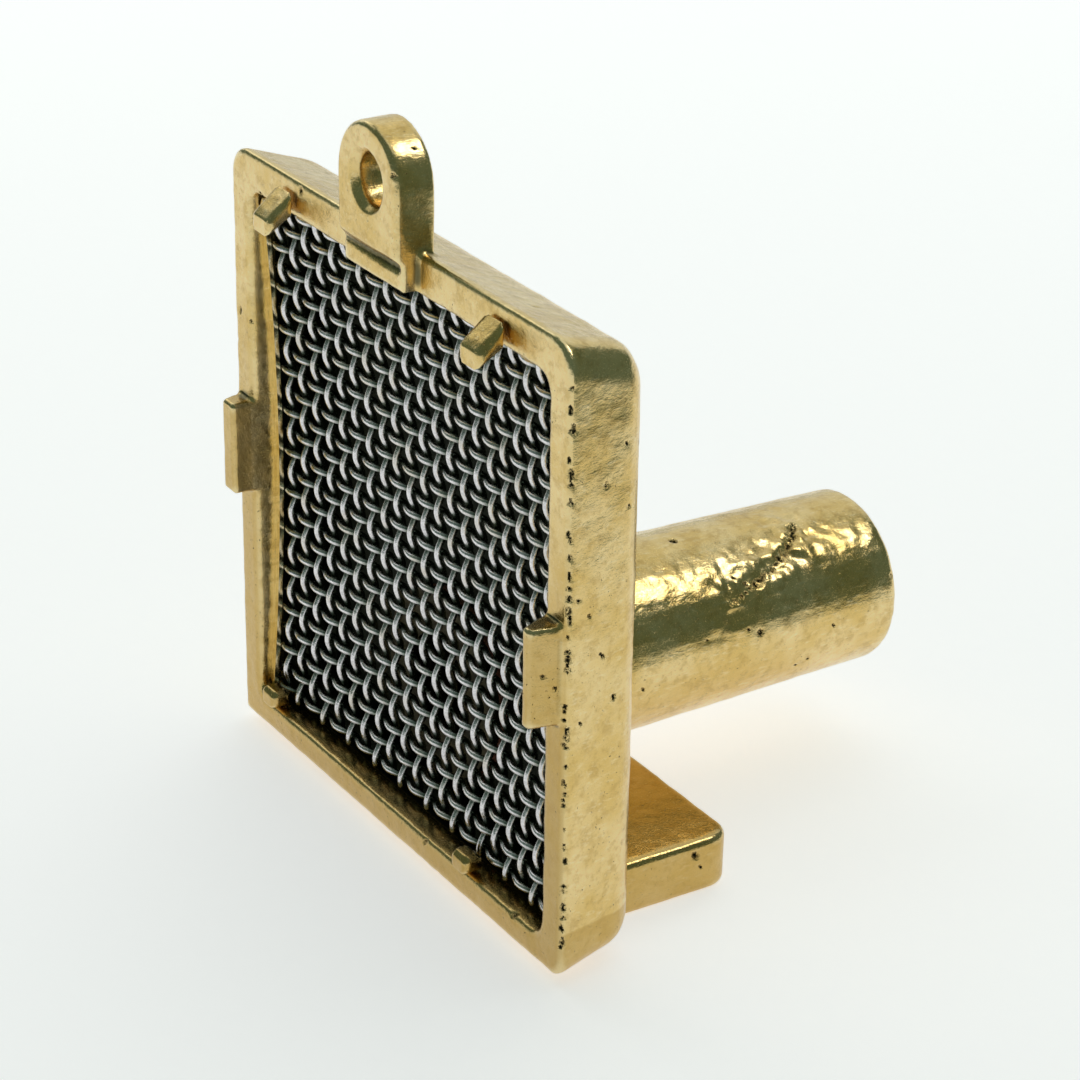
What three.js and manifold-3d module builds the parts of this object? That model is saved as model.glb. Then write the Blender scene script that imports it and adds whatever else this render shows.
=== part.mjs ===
// Foot valve with a square strainer box: a shallow brass pan with a dished wire screen across its
// front, and a spring-loaded poppet that closes the hose spigot against back flow.
// Millimetres, +Z up. The screen faces -Y and the spigot points along +Y.
import * as THREE from "three";
import { mergeVertices } from "three/addons/utils/BufferGeometryUtils.js";
import Module from "manifold-3d";

const wasm = await Module();
wasm.setup();

// ---- driving dimensions -------------------------------------------------------------------------
const fitGap = 0.3; // between pieces that touch
const overrun = 1; // how far a cutter runs past the face it cuts
const sink = 0.5; // how far a boss reaches into the wall that it stands on

const boxWidth = 78.2;
const boxHeight = 78.8;
const boxCorner = 4;
const lowLeftCorner = 0.6; // the box's bottom corners at the front
const lowRightCorner = 2.5;
const lowBackCorner = 3; // and both of them at the back
const boxLift = 1; // the box's bottom above the foot's
const sideRim = 4.7; // width of the rim's face beside the opening
const topRim = 5.2;
const bottomRim = 3.8;
const openingCorner = 2.5;
const rimRound = 0.8; // of the rim's outer and inner edges
const cornerShare = 0.6; // part of an edge's rounding that comes off the corner radius

const sideDraft = 2.1; // how far the pan's sides lean in from front to back
const topDraft = 3.8;
const bottomDraft = 1.5;
const panBackRound = 4;
const backWall = 2.5;
const ledgeWidth = 3; // step inside the pan that the screen lies on
const ledgeClearance = 0.5; // behind the screen's edge

const screenRecess = 2.2; // from the rim's face to the screen's face at the corners
const dishAcross = 1; // extra depth of the screen halfway along its width
const dishUpright = 1.6; // extra depth of the screen halfway up
const screenThickness = 1;
const edgeWidth = 0.8;
const edgeThickness = 0.6;

const hookInset = 14.9; // from the box's side to a top hook's middle
const topHookWidth = 4.6;
const topHookThickness = 2.9;
const topHookRoot = 0.4; // its root's lower side above the opening's edge
const topHookReach = 3.8; // in front of the rim
const topHookDrop = 2.1; // how far it slopes down on the way
const bottomHookWidth = 3.6;
const bottomHookReach = 0.8;
const bottomHookHeight = 2.3;
const bottomHookShift = -7; // the bottom pair's middle from the box's middle
const hookRound = 0.85; // of a top hook's edges

const clawHeight = 12.3;
const clawInset = 0.8; // from the box's side to the claw's outer face
const clawLean = 0.8; // how far its tip leans in
const leftClawReach = 2.9; // in front of the rim
const leftClawTip = 2.9; // thickness
const rightClawReach = 3.9;
const rightClawTip = 1.6;
const clawEdge = 0.3;

const lugWidth = 13.7;
const lugShift = 0.3; // the lug's middle from the box's middle
const lugEyeHeight = 6.9; // eye's centre above the box's top
const lugReach = 2.9; // in front of the rim
const lugThickness = 5.2;
const lugEdge = 0.6;
const lugEyeRadius = 3;
const lugEyeChamfer = 0.85;
const lugStep = 0.8; // set-back of the lug's foot
const lugStepDrop = 1; // the step below the box's top
const lugFootRise = 0.6; // the lug's foot above the opening

const footWidth = 58.8;
const footReach = 18.9; // behind the pan's back
const footThickness = 7.2;
const footCorner = 3.2;
const footEdge = 0.9;

const valveBore = 9.5; // radius of the bore that holds the valve
const throughBore = 8; // radius of the hose end's bore
const spigotRootWall = 2.9;
const spigotTipWall = 3.3;
const spigotLength = 56.9;
const spigotTipRound = 1.6;
const spigotFillet = 1.5;

const flangeLip = 2.5;
const flangeThickness = 1.2;
const flangeClearance = 0.6; // above the chamber's floor
const bushClearance = 1.1; // behind the screen's deepest point
const gasketThickness = 0.8;
const seatBore = 6.5; // radius
const seatReach = 10.5; // of the seat's sleeve past the pan's inner back face

const sealThickness = 2;
const sealOverlap = 1; // how far the seal covers the seat's bore
const sealSeatGap = 0.15;
const discThickness = 2.5;
const stemRadius = 2;
const plateThickness = 1;
const plateClearance = 1;
const nutThickness = 3.2;
const nutAcrossFlats = 7;
const stemProud = 0.8;
const stemTail = 0.6;
const seatEdge = 0.6;
const discEdge = 0.8;

const springLength = 12;
const springRadius = 3.6; // of the coil's centre line
const wireRadius = 0.4;
const springTurns = 6.5;

const hubRadius = 4.2;
const hubLength = 6.2;
const hubRunning = 0.06; // radial clearance on the stem
const spiderRing = 1.6;
const spiderThickness = 3.2;
const spiderArm = 1.8;
const spiderArms = 3;

const roundSteps = 48;
const cornerSteps = 6;

// ---- sizes that follow --------------------------------------------------------------------------
const openingWidth = boxWidth - 2 * sideRim;
const openingTop = boxHeight - topRim;
const openingHeight = openingTop - bottomRim;
const openingMiddle = (openingTop + bottomRim) / 2;
const screenBackY = screenRecess + screenThickness;
const ledgeY = screenBackY + Math.max(dishAcross, dishUpright) + ledgeClearance;
const flangeFrontY = screenBackY + dishAcross + dishUpright + bushClearance;
const flangeBackY = flangeFrontY + flangeThickness;
const gasketFrontY = flangeBackY + fitGap;
const chamberBackY = gasketFrontY + gasketThickness + fitGap;
const boxDepth = chamberBackY + backWall;
const flangeRadius = valveBore + flangeLip;
const spigotHeight = bottomRim + ledgeWidth + flangeClearance + flangeRadius;
const spigotRootRadius = valveBore + spigotRootWall;
const spigotTipRadius = throughBore + spigotTipWall;
const spigotEndY = boxDepth + spigotLength;
const seatY = chamberBackY + seatReach;
const sealFrontY = seatY + sealSeatGap;
const sealRadius = seatBore + sealOverlap;
const discFrontY = sealFrontY + sealThickness + fitGap;
const discBackY = discFrontY + discThickness;
const springFrontY = discBackY + fitGap;
const hubFrontY = springFrontY + springLength + fitGap;
const hubBackY = hubFrontY + hubLength;
const shoulderY = hubBackY + fitGap;
const plateBackY = sealFrontY - fitGap;
const plateFrontY = plateBackY - plateThickness;
const nutBackY = plateFrontY - fitGap;
const nutFrontY = nutBackY - nutThickness;
const stemFrontY = nutFrontY - stemProud;
const stemBackY = hubBackY + stemTail;
const frontY = -Math.max(leftClawReach, rightClawReach, lugReach, topHookReach);
const middleY = (frontY + spigotEndY) / 2;

// ---- materials ----------------------------------------------------------------------------------
const material = (color, roughness, metalness) =>
  new THREE.MeshStandardMaterial({ color, roughness, metalness });
const castBrass = material(0xc2a45a, 0.42, 1);
const turnedBrass = material(0xcfae5c, 0.28, 1);
const steelWire = material(0x9b9691, 0.35, 1);
const springSteel = material(0xa8aaad, 0.3, 1);
const sealRubber = material(0x1d1d1e, 0.8, 0);
const gasketFibre = material(0x6b3a2c, 0.85, 0);

// ---- solids -------------------------------------------------------------------------------------
// A closed geometry as a manifold-3d solid.
function solid(geometry) {
  const bare = geometry.index ? geometry.toNonIndexed() : geometry.clone();
  bare.deleteAttribute("normal");
  bare.deleteAttribute("uv");
  const merged = mergeVertices(bare, 1e-4);
  return new wasm.Manifold(
    new wasm.Mesh({
      numProp: 3,
      vertProperties: merged.attributes.position.array,
      triVerts: new Uint32Array(merged.index.array),
    }),
  );
}

// A manifold-3d solid as a named three.js mesh.
function meshOf(name, shape, look) {
  const made = shape.getMesh();
  const geometry = new THREE.BufferGeometry();
  geometry.setAttribute("position", new THREE.BufferAttribute(made.vertProperties, 3));
  geometry.setIndex(new THREE.BufferAttribute(made.triVerts, 1));
  geometry.computeVertexNormals();
  const mesh = new THREE.Mesh(geometry, look);
  mesh.name = name;
  return mesh;
}

// A rectangle with round corners about x = 0, from the height low to the height high.
function roundedRectangle(width, low, high, corner, lowRight = corner, lowLeft = corner) {
  const w = width / 2;
  const shape = new THREE.Shape();
  shape.absarc(w - lowRight, low + lowRight, lowRight, -Math.PI / 2, 0);
  shape.absarc(w - corner, high - corner, corner, 0, Math.PI / 2);
  shape.absarc(-w + corner, high - corner, corner, Math.PI / 2, Math.PI);
  shape.absarc(-w + lowLeft, low + lowLeft, lowLeft, Math.PI, 1.5 * Math.PI);
  shape.closePath();
  return shape;
}

// A shape drawn in X and Z, extruded along +Y from fromY to toY.
function slab(shape, fromY, toY, options = {}) {
  const geometry = new THREE.ExtrudeGeometry(shape, {
    depth: toY - fromY,
    bevelEnabled: false,
    curveSegments: cornerSteps,
    ...options,
  });
  geometry.rotateX(Math.PI / 2);
  geometry.translate(0, toY, 0);
  return geometry;
}

// A profile of [radius, y] points turned about the spigot's axis.
function turned(points, steps = roundSteps) {
  const profile = points.map(([radius, y]) => new THREE.Vector2(radius, y));
  const geometry = new THREE.LatheGeometry(profile, steps);
  geometry.translate(0, 0, spigotHeight);
  return geometry;
}

// A solid of revolution whatever way round its profile runs.
function turnedSolid(points, steps) {
  const made = solid(turned(points, steps));
  return made.volume() > 0 ? made : solid(turned([...points].reverse(), steps));
}

// A plain disc or a ring between two places on the spigot's axis.
function ring(outer, inner, fromY, toY, steps) {
  const profile = inner
    ? [[inner, fromY], [outer, fromY], [outer, toY], [inner, toY], [inner, fromY]]
    : [[0, fromY], [outer, fromY], [outer, toY], [0, toY]];
  return turnedSolid(profile, steps);
}

// A closed skin through round-cornered outlines that stand one behind the other along Y.
function loft(stations) {
  const rings = stations.map(({ y, width, low, high, corner, lowRight, lowLeft }) => {
    const outline = roundedRectangle(width, low, high, corner, lowRight, lowLeft);
    return outline.getPoints(cornerSteps).slice(0, -1).map((p) => [p.x, y, p.y]);
  });
  const count = rings[0].length;
  const positions = rings.flat(2);
  const triangles = [];
  for (let k = 0; k + 1 < rings.length; k++)
    for (let i = 0; i < count; i++) {
      const j = (i + 1) % count;
      const a = k * count;
      const b = a + count;
      triangles.push(a + i, b + i, a + j, a + j, b + i, b + j);
    }
  const last = (rings.length - 1) * count;
  for (let i = 1; i + 1 < count; i++) {
    triangles.push(0, i, i + 1);
    triangles.push(last, last + i + 1, last + i);
  }
  const geometry = new THREE.BufferGeometry();
  geometry.setAttribute("position", new THREE.Float32BufferAttribute(positions, 3));
  geometry.setIndex(triangles);
  return geometry;
}

// ---- the strainer box ---------------------------------------------------------------------------
// The pan's outline at a depth y, where the rounding of an edge has turned it in that much.
function panStation(y, turnedIn) {
  const deep = y / boxDepth;
  const lowCorner = (front) => front + (lowBackCorner - front) * deep - turnedIn * cornerShare;
  return {
    y,
    width: boxWidth - 2 * (sideDraft * deep + turnedIn),
    low: bottomDraft * deep + turnedIn,
    high: boxHeight - topDraft * deep - turnedIn,
    corner: boxCorner - turnedIn * cornerShare,
    lowRight: lowCorner(lowRightCorner),
    lowLeft: lowCorner(lowLeftCorner),
  };
}

function panOuter() {
  const stations = [];
  const frontSteps = 3;
  for (let k = 0; k <= frontSteps; k++) {
    const angle = (Math.PI / 2) * (k / frontSteps);
    const y = rimRound * (1 - Math.cos(angle));
    stations.push(panStation(y, rimRound * (1 - Math.sin(angle))));
  }
  const backSteps = 6;
  for (let k = 0; k <= backSteps; k++) {
    const angle = (Math.PI / 2) * (k / backSteps);
    const y = boxDepth - panBackRound * (1 - Math.sin(angle));
    stations.push(panStation(y, panBackRound * (1 - Math.cos(angle))));
  }
  return solid(loft(stations));
}

// The opening's outline at a depth y, widened by flare where its edge is rounded.
const mouthStation = (y, flare) => ({
  y,
  width: openingWidth + 2 * flare,
  low: bottomRim - flare,
  high: openingTop + flare,
  corner: openingCorner + flare,
});

function mouth() {
  const stations = [mouthStation(-overrun, rimRound)];
  const steps = 3;
  for (let k = 0; k <= steps; k++) {
    const angle = (Math.PI / 2) * (k / steps);
    const y = rimRound * (1 - Math.cos(angle));
    stations.push(mouthStation(y, rimRound * (1 - Math.sin(angle))));
  }
  stations.push(mouthStation(ledgeY, 0));
  return solid(loft(stations));
}

function foot() {
  const shape = new THREE.Shape();
  const half = footWidth / 2;
  const front = boxDepth - panBackRound;
  const back = boxDepth + footReach;
  shape.moveTo(-half, front);
  shape.lineTo(half, front);
  shape.absarc(half - footCorner, back - footCorner, footCorner, 0, Math.PI / 2);
  shape.absarc(-half + footCorner, back - footCorner, footCorner, Math.PI / 2, Math.PI);
  shape.closePath();
  return solid(
    new THREE.ExtrudeGeometry(shape, {
      depth: footThickness - 2 * footEdge,
      bevelThickness: footEdge,
      bevelSize: footEdge,
      bevelOffset: -footEdge,
      bevelSegments: 3,
      curveSegments: cornerSteps,
    }),
  );
}

function spigotOuter() {
  const flared = spigotRootRadius + spigotFillet;
  const points = [[0, chamberBackY + sink], [flared, chamberBackY + sink]];
  points.push([flared, boxDepth]);
  for (let k = 1; k <= 4; k++) {
    const angle = (Math.PI / 2) * (k / 4);
    points.push([
      spigotRootRadius + spigotFillet * (1 - Math.sin(angle)),
      boxDepth + spigotFillet * (1 - Math.cos(angle)),
    ]);
  }
  for (let k = 0; k <= 4; k++) {
    const angle = (Math.PI / 2) * (k / 4);
    points.push([
      spigotTipRadius - spigotTipRound * (1 - Math.cos(angle)),
      spigotEndY - spigotTipRound * (1 - Math.sin(angle)),
    ]);
  }
  points.push([0, spigotEndY]);
  return turnedSolid(points);
}

function lug() {
  const radius = lugWidth / 2;
  const eyeZ = boxHeight + lugEyeHeight;
  const stepZ = boxHeight - lugStepDrop;
  const footZ = openingTop + lugFootRise;
  const plate = new THREE.Shape();
  plate.moveTo(-radius, stepZ);
  plate.lineTo(radius, stepZ);
  plate.absarc(0, eyeZ, radius, 0, Math.PI);
  plate.closePath();
  const footBlock = new THREE.Shape();
  footBlock.moveTo(-radius, footZ);
  footBlock.lineTo(radius, footZ);
  footBlock.lineTo(radius, stepZ + sink);
  footBlock.lineTo(-radius, stepZ + sink);
  footBlock.closePath();
  const lugBackY = lugThickness - lugReach;
  const plateSlab = slab(plate, -lugReach + lugEdge, lugBackY - lugEdge, {
    curveSegments: 20,
    bevelEnabled: true,
    bevelThickness: lugEdge,
    bevelSize: lugEdge,
    bevelOffset: -lugEdge,
    bevelSegments: 2,
  });
  const middle = (lugBackY - lugReach) / 2;
  const halfThickness = lugThickness / 2;
  const eyeMouth = lugEyeRadius + lugEyeChamfer + overrun;
  const eye = new THREE.LatheGeometry(
    [
      new THREE.Vector2(0, -halfThickness - overrun),
      new THREE.Vector2(eyeMouth, -halfThickness - overrun),
      new THREE.Vector2(lugEyeRadius, -halfThickness + lugEyeChamfer),
      new THREE.Vector2(lugEyeRadius, halfThickness - lugEyeChamfer),
      new THREE.Vector2(eyeMouth, halfThickness + overrun),
      new THREE.Vector2(0, halfThickness + overrun),
    ],
    28,
  );
  eye.translate(0, middle, eyeZ);
  return solid(plateSlab)
    .add(solid(slab(footBlock, -lugReach + lugStep, rimRound + sink)))
    .subtract(solid(eye))
    .translate([lugShift, 0, 0]);
}

// A claw's section in X and Y, drawn on the +X side of the box.
function claw(side, reach, tipThickness) {
  const rootInner = openingWidth / 2;
  const rootOuter = boxWidth / 2 - clawInset;
  const tipOuter = rootOuter - clawLean;
  const tipInner = tipOuter - tipThickness;
  const section = new THREE.Shape();
  section.moveTo(rootInner, rimRound + sink);
  section.lineTo(rootOuter, rimRound + sink);
  section.lineTo(rootOuter, 0);
  section.lineTo(tipOuter, clawEdge - reach);
  section.lineTo(tipOuter - clawEdge, -reach);
  section.lineTo(tipInner + clawEdge, -reach);
  section.lineTo(tipInner, clawEdge - reach);
  section.lineTo(rootInner, 0);
  section.closePath();
  const geometry = new THREE.ExtrudeGeometry(section, {
    depth: clawHeight - 2 * clawEdge,
    bevelThickness: clawEdge,
    bevelSize: clawEdge,
    bevelOffset: -clawEdge,
    bevelSegments: 1,
  });
  geometry.translate(0, 0, boxHeight / 2 - clawHeight / 2 + clawEdge);
  const made = solid(geometry);
  return side > 0 ? made : made.mirror([1, 0, 0]);
}

function bodyCasting() {
  const chamber = roundedRectangle(
    openingWidth - 2 * ledgeWidth,
    bottomRim + ledgeWidth,
    openingTop - ledgeWidth,
    openingCorner,
  );
  const footBlock = foot();
  const onTable = footBlock.translate([0, 0, -boxLift - footBlock.boundingBox().min[2]]);
  return panOuter()
    .add(onTable)
    .add(spigotOuter())
    .subtract(mouth())
    .subtract(solid(slab(chamber, ledgeY - overrun, chamberBackY)))
    .subtract(ring(valveBore, 0, chamberBackY - overrun, shoulderY))
    .subtract(ring(throughBore, 0, shoulderY - overrun, spigotEndY + overrun))
    .add(lug())
    .add(claw(1, rightClawReach, rightClawTip))
    .add(claw(-1, leftClawReach, leftClawTip));
}

// ---- the screen and what holds it ---------------------------------------------------------------
// Depth of the screen's front face at u, v, which run from -1 to 1 across and up the screen.
const dish = (u, v) => screenRecess + dishAcross * (1 - u * u) + dishUpright * (1 - v * v);
const screenHalfWidth = openingWidth / 2 - fitGap;
const screenHalfHeight = openingHeight / 2 - fitGap;

// Round corners, a gap's width inside the opening's own.
function withinOpening(shape) {
  const outline = roundedRectangle(
    2 * screenHalfWidth,
    openingMiddle - screenHalfHeight,
    openingMiddle + screenHalfHeight,
    openingCorner,
  );
  return shape.intersect(solid(slab(outline, 0, boxDepth)));
}

function screenCloth() {
  const columns = 16;
  const rows = 16;
  const plate = new THREE.BoxGeometry(2, 2, 1, columns, rows, 1);
  const place = plate.attributes.position;
  for (let i = 0; i < place.count; i++) {
    const u = place.getX(i);
    const v = place.getY(i);
    const front = place.getZ(i) > 0;
    const y = dish(u, v) + (front ? 0 : screenThickness);
    place.setXYZ(i, u * screenHalfWidth, y, openingMiddle + v * screenHalfHeight);
  }
  return withinOpening(solid(plate));
}

// The strip along one side of the screen: a band in front of the cloth that follows its dish.
function edgeStrip(length, depthAt, width) {
  const steps = 16;
  const outline = new THREE.Shape();
  const along = (k) => -1 + (2 * k) / steps;
  const back = (k) => depthAt(along(k)) - fitGap;
  outline.moveTo(along(0) * length, back(0));
  for (let k = 1; k <= steps; k++) outline.lineTo(along(k) * length, back(k));
  for (let k = steps; k >= 0; k--) outline.lineTo(along(k) * length, back(k) - edgeThickness);
  outline.closePath();
  return new THREE.ExtrudeGeometry(outline, { depth: width, bevelEnabled: false });
}

function sideEdge(side) {
  const geometry = edgeStrip(screenHalfHeight, (v) => dish(1, v), edgeWidth);
  geometry.rotateY(-Math.PI / 2);
  const made = solid(geometry);
  const box = made.boundingBox();
  const x = side > 0 ? screenHalfWidth - box.max[0] : -screenHalfWidth - box.min[0];
  return withinOpening(made.translate([x, 0, openingMiddle]));
}

// A finger across X from its section in Y and Z, with chamfered ends.
function finger(points, width, round, x) {
  const section = new THREE.Shape();
  points.forEach(([y, z], k) => (k ? section.lineTo(y, z) : section.moveTo(y, z)));
  section.closePath();
  const geometry = new THREE.ExtrudeGeometry(section, {
    depth: width - 2 * round,
    bevelThickness: round,
    bevelSize: round,
    bevelOffset: -round,
    bevelSegments: 2,
  });
  geometry.translate(0, 0, round - width / 2);
  const acrossX = new THREE.Matrix4().makeBasis(
    new THREE.Vector3(0, 1, 0),
    new THREE.Vector3(0, 0, 1),
    new THREE.Vector3(1, 0, 0),
  );
  geometry.applyMatrix4(acrossX);
  return solid(geometry).translate([x, 0, 0]);
}

// It slopes down from the rim's face in front of the screen's top edge.
function topHook(x) {
  const low = openingTop + topHookRoot;
  const high = low + topHookThickness;
  const points = [
    [-fitGap, low],
    [-fitGap, high],
    [hookRound - topHookReach, high - topHookDrop],
    [-topHookReach, high - topHookDrop - hookRound],
    [-topHookReach, low - topHookDrop],
  ];
  return finger(points.reverse(), topHookWidth, hookRound, x);
}

// It stands on the opening's lower edge, in front of the screen.
function bottomHook(x) {
  const low = bottomRim + fitGap;
  const high = low + bottomHookHeight;
  const front = -bottomHookReach;
  const back = screenRecess - fitGap;
  const round = (back - front) / 4;
  const points = [
    [front, low],
    [front, high - round],
    [front + round, high],
    [back - round, high],
    [back, high - round],
    [back, low],
  ];
  return finger(points.reverse(), bottomHookWidth, round, x);
}

// ---- the valve ----------------------------------------------------------------------------------
function seatBush() {
  const sleeve = valveBore - fitGap;
  return turnedSolid([
    [seatBore, flangeFrontY],
    [flangeRadius, flangeFrontY],
    [flangeRadius, flangeBackY],
    [sleeve, flangeBackY],
    [sleeve, seatY - overrun],
    [seatBore + seatEdge, seatY],
    [seatBore, seatY],
    [seatBore, flangeFrontY],
  ]);
}

function poppet() {
  return turnedSolid([
    [0, stemFrontY],
    [stemRadius, stemFrontY],
    [stemRadius, discFrontY],
    [sealRadius, discFrontY],
    [sealRadius, discBackY - discEdge],
    [sealRadius - discEdge, discBackY],
    [stemRadius, discBackY],
    [stemRadius, stemBackY],
    [0, stemBackY],
  ]);
}

function stemNut() {
  const hexRadius = nutAcrossFlats / Math.sqrt(3);
  const body = ring(hexRadius, 0, nutFrontY, nutBackY, 6);
  return body.subtract(ring(stemRadius + fitGap, 0, nutFrontY - overrun, nutBackY + overrun));
}

class Helix extends THREE.Curve {
  getPoint(t, target = new THREE.Vector3()) {
    const angle = 2 * Math.PI * springTurns * t;
    const y = springFrontY + wireRadius + t * (springLength - 2 * wireRadius);
    return target.set(
      springRadius * Math.cos(angle),
      y,
      spigotHeight + springRadius * Math.sin(angle),
    );
  }
}

function valveSpring() {
  const section = new THREE.Shape();
  section.absarc(0, 0, wireRadius, 0, 2 * Math.PI);
  return solid(
    new THREE.ExtrudeGeometry(section, {
      steps: Math.round(16 * springTurns),
      extrudePath: new Helix(),
      curveSegments: 3,
      bevelEnabled: false,
    }),
  );
}

function guideSpider() {
  const outer = valveBore - fitGap;
  const armFrontY = hubBackY - spiderThickness;
  let made = ring(outer, outer - spiderRing, armFrontY, hubBackY);
  made = made.add(ring(hubRadius, 0, hubFrontY, hubBackY));
  const armLength = outer - spiderRing / 2;
  for (let k = 0; k < spiderArms; k++) {
    const arm = new THREE.BoxGeometry(spiderArm, spiderThickness, armLength);
    arm.translate(0, (armFrontY + hubBackY) / 2, armLength / 2);
    arm.rotateY((2 * Math.PI * k) / spiderArms);
    arm.translate(0, 0, spigotHeight);
    made = made.add(solid(arm));
  }
  const hole = ring(stemRadius + hubRunning, 0, hubFrontY - overrun, hubBackY + overrun);
  return made.subtract(hole);
}

// ---- assembly -----------------------------------------------------------------------------------
const group = new THREE.Group();
group.position.set(0, -middleY, boxLift);

group.add(meshOf("body_casting", bodyCasting(), castBrass));
group.add(meshOf("screen_cloth", screenCloth(), steelWire));
for (const [side, word] of [[-1, "left"], [1, "right"]])
  group.add(meshOf("screen_edge_" + word, sideEdge(side), turnedBrass));
for (const [side, word] of [[-1, "left"], [1, "right"]]) {
  const x = side * (boxWidth / 2 - hookInset);
  group.add(meshOf("hook_top_" + word, topHook(x), castBrass));
  group.add(meshOf("hook_bottom_" + word, bottomHook(x + bottomHookShift), castBrass));
}

group.add(meshOf("seat_bush", seatBush(), turnedBrass));
group.add(
  meshOf(
    "seat_gasket",
    ring(flangeRadius, valveBore, gasketFrontY, gasketFrontY + gasketThickness),
    gasketFibre,
  ),
);
group.add(meshOf("poppet", poppet(), turnedBrass));
group.add(
  meshOf(
    "seal_washer",
    ring(sealRadius, stemRadius + fitGap, sealFrontY, sealFrontY + sealThickness),
    sealRubber,
  ),
);
group.add(
  meshOf(
    "seal_plate",
    ring(seatBore - plateClearance, stemRadius + fitGap, plateFrontY, plateBackY),
    turnedBrass,
  ),
);
group.add(meshOf("stem_nut", stemNut(), turnedBrass));
group.add(meshOf("valve_spring", valveSpring(), springSteel));
group.add(meshOf("guide_spider", guideSpider(), turnedBrass));

export default group;
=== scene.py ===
"""Looks of the foot valve: cast brass, woven screen, studio floor, lights and camera."""
import math

import bpy
import numpy as np
from mathutils import Matrix, Vector
from mathutils.bvhtree import BVHTree
from mathutils.kdtree import KDTree


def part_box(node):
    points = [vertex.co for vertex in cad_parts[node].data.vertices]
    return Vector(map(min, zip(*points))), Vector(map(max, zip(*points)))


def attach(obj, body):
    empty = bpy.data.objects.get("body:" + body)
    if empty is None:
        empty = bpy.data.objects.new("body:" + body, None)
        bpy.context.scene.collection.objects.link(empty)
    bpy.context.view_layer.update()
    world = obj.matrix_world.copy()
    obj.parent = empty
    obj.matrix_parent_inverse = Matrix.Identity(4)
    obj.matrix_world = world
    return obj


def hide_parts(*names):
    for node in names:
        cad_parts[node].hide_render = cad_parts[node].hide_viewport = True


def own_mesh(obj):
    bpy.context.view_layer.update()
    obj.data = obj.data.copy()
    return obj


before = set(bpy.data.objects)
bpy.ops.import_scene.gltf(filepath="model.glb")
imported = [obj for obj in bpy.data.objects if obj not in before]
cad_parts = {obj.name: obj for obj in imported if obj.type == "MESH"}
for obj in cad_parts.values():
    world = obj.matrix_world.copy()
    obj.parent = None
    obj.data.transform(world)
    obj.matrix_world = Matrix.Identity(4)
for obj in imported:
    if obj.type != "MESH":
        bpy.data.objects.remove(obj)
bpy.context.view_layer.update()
MM = 0.001

# ---- camera ----------------------------------------------------------------------------------
CAMERA_AZIMUTH = math.radians(57.62)
CAMERA_ELEVATION = math.radians(25.29)
CAMERA_ROLL = math.radians(0.85)
CAMERA_DISTANCE = 408.909 * MM
FOCAL_PIXELS = 3305.24
IMAGE_PIXELS = 1080
SENSOR_WIDTH = 36
AIM_RIGHT = 18.399 * MM
AIM_UP = 37.410 * MM
RIM_FROM_ORIGIN = 32.5 * MM
NEAREST_SEEN = 10 * MM


def place_camera():
    """Puts the camera at the viewing angle of the reference."""
    level = math.cos(CAMERA_ELEVATION)
    back = Vector((
        math.sin(CAMERA_AZIMUTH) * level,
        -math.cos(CAMERA_AZIMUTH) * level,
        math.sin(CAMERA_ELEVATION),
    ))
    flat_right = Vector((0, 0, 1)).cross(back).normalized()
    flat_up = back.cross(flat_right)
    turn = (math.cos(CAMERA_ROLL), math.sin(CAMERA_ROLL))
    right = flat_right * turn[0] + flat_up * turn[1]
    up = flat_up * turn[0] - flat_right * turn[1]
    place = right * AIM_RIGHT + up * AIM_UP + back * CAMERA_DISTANCE
    place.y -= RIM_FROM_ORIGIN
    data = bpy.data.cameras.new("camera")
    data.sensor_width = SENSOR_WIDTH
    data.lens = FOCAL_PIXELS * SENSOR_WIDTH / IMAGE_PIXELS
    data.clip_start = NEAREST_SEEN
    camera = bpy.data.objects.new("camera", data)
    bpy.context.scene.collection.objects.link(camera)
    turn_matrix = Matrix((right, up, back)).transposed().to_4x4()
    camera.matrix_world = Matrix.Translation(place) @ turn_matrix
    bpy.context.scene.camera = camera


# ---- shader helpers --------------------------------------------------------------------------
# Nearly all of a noise texture's values lie between these.
NOISE_SPREAD = (0.3, 0.7)


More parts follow.
